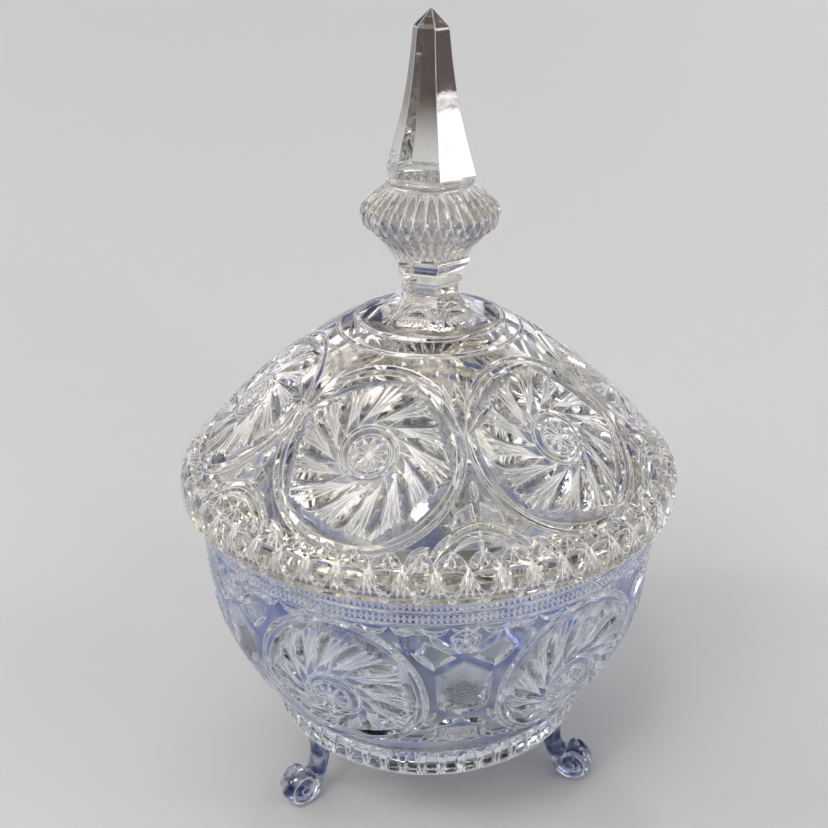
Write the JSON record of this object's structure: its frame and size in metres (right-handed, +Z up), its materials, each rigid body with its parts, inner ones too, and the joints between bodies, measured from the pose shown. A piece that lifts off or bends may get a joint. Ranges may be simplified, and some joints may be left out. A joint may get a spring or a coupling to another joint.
{
  "type": "covered powder jar",
  "caption": "Round cut-crystal covered powder jar on three scroll feet, with a domed lift-off lid and a steeple finial.",
  "frame": {"origin": "centre of the jar's footprint, on the surface it stands on", "axes": "+Z up the jar's axis, -Y towards the side between the two front feet, +X to the right seen from there"},
  "size_m": [0.14, 0.1398, 0.222],
  "materials": {
    "lead_crystal": "polished"
  },
  "bodies": {
    "jar": {"bowl": "lead_crystal", "foot_front_left": "lead_crystal", "foot_front_right": "lead_crystal", "foot_rear": "lead_crystal"},
    "lid": {"lid_dome": "lead_crystal", "finial_stem": "lead_crystal", "finial_knop": "lead_crystal", "finial_spire": "lead_crystal"}
  },
  "joints": [
    {"name": "lid_lift", "type": "slide", "parent": "jar", "child": "lid", "axis": [0, 0, 1], "range_m": [0, 0.1]}
  ]
}
